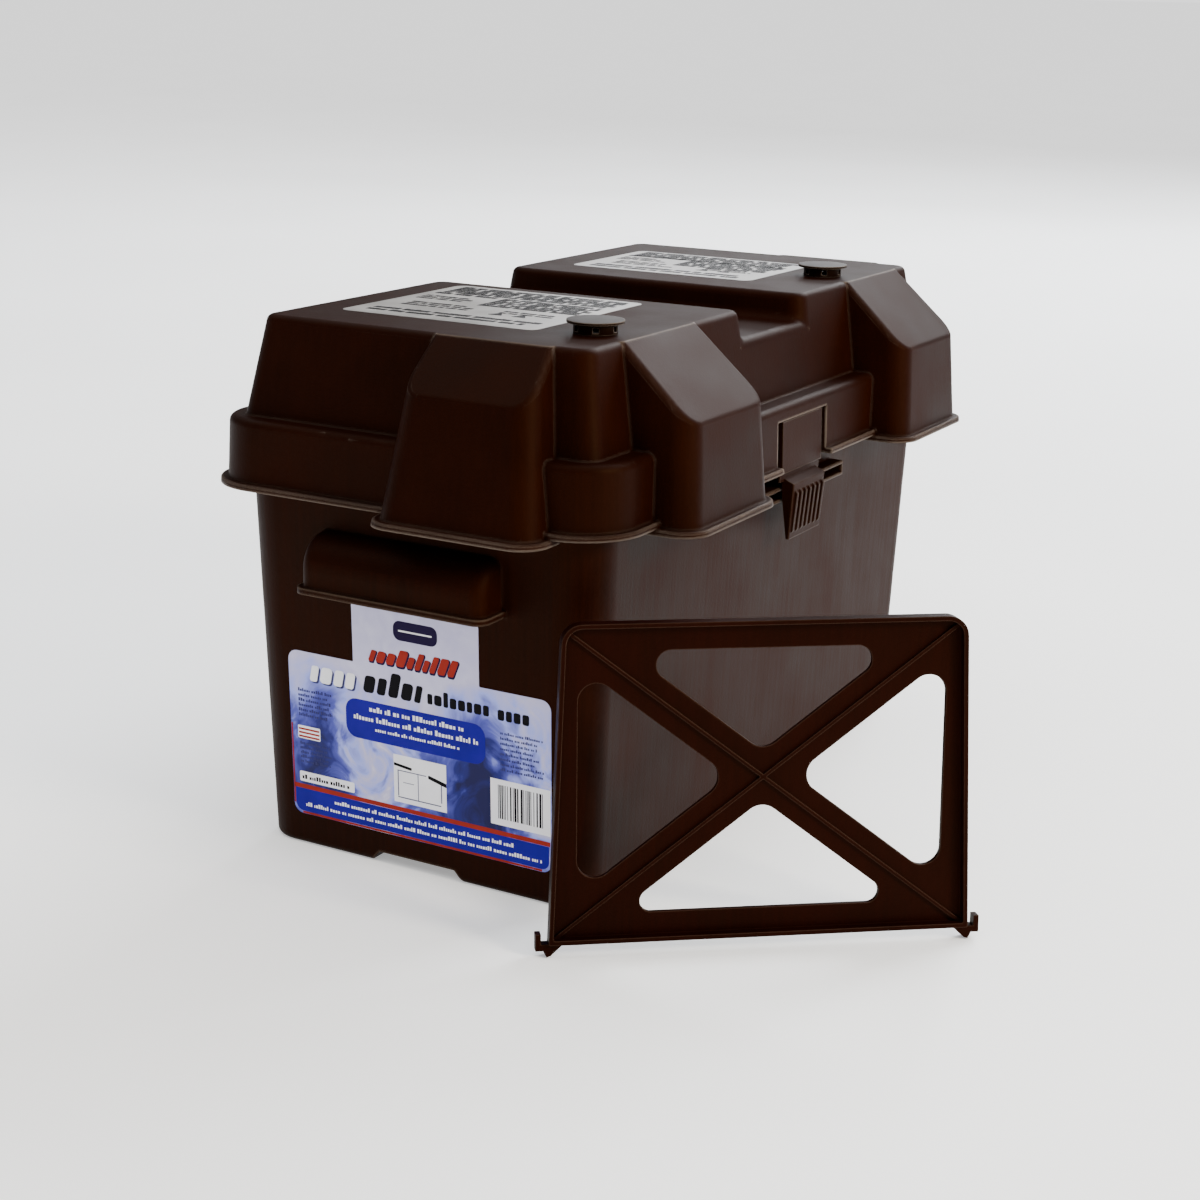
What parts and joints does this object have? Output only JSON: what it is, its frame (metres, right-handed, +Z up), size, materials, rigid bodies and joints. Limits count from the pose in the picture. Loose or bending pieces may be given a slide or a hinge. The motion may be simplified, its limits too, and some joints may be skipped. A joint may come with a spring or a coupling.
{
  "type": "battery box",
  "caption": "Moulded plastic battery box: drafted tub with end hoods, lift-off vented lid with snap latches and cable wings, and a loose braced divider.",
  "frame": {"origin": "centre of the tub's footprint, on the ground", "axes": "+Z up, X along the box with the large label at -X, front at -Y"},
  "size_m": [0.4536, 0.3632, 0.2611],
  "materials": {
    "black_plastic": "satin with a fine pebbled grain",
    "cap_plastic": "smooth satin",
    "vinyl_label": "printed gloss vinyl",
    "silver_label": "printed silver vinyl"
  },
  "bodies": {
    "tub": {"tub": "black_plastic", "label_end": "vinyl_label"},
    "lid": {"lid": "black_plastic", "vent_cap_near": "cap_plastic", "vent_cap_far": "cap_plastic", "label_deck_near": "silver_label", "label_deck_far": "silver_label"},
    "latch_front": {"latch_front": "black_plastic"},
    "latch_rear": {"latch_rear": "black_plastic"},
    "divider": {"divider": "black_plastic"}
  },
  "joints": [
    {"name": "lid_lift", "type": "slide", "parent": "tub", "child": "lid", "axis": [0, 0, 1], "range_m": [0, 0.3]},
    {"name": "latch_front_flex", "type": "hinge", "parent": "lid", "child": "latch_front", "pos_m": [0, -0.1044, 0.2006], "axis": [-1, 0, 0], "range_deg": [0, 8], "stiffness_Nm_per_rad": 1.5},
    {"name": "latch_rear_flex", "type": "hinge", "parent": "lid", "child": "latch_rear", "pos_m": [0, 0.1044, 0.2006], "axis": [1, 0, 0], "range_deg": [0, 8], "stiffness_Nm_per_rad": 1.5},
    {"name": "divider_lift", "type": "slide", "parent": "tub", "child": "divider", "axis": [0, 0, 1], "range_m": [0, 0.25]}
  ]
}
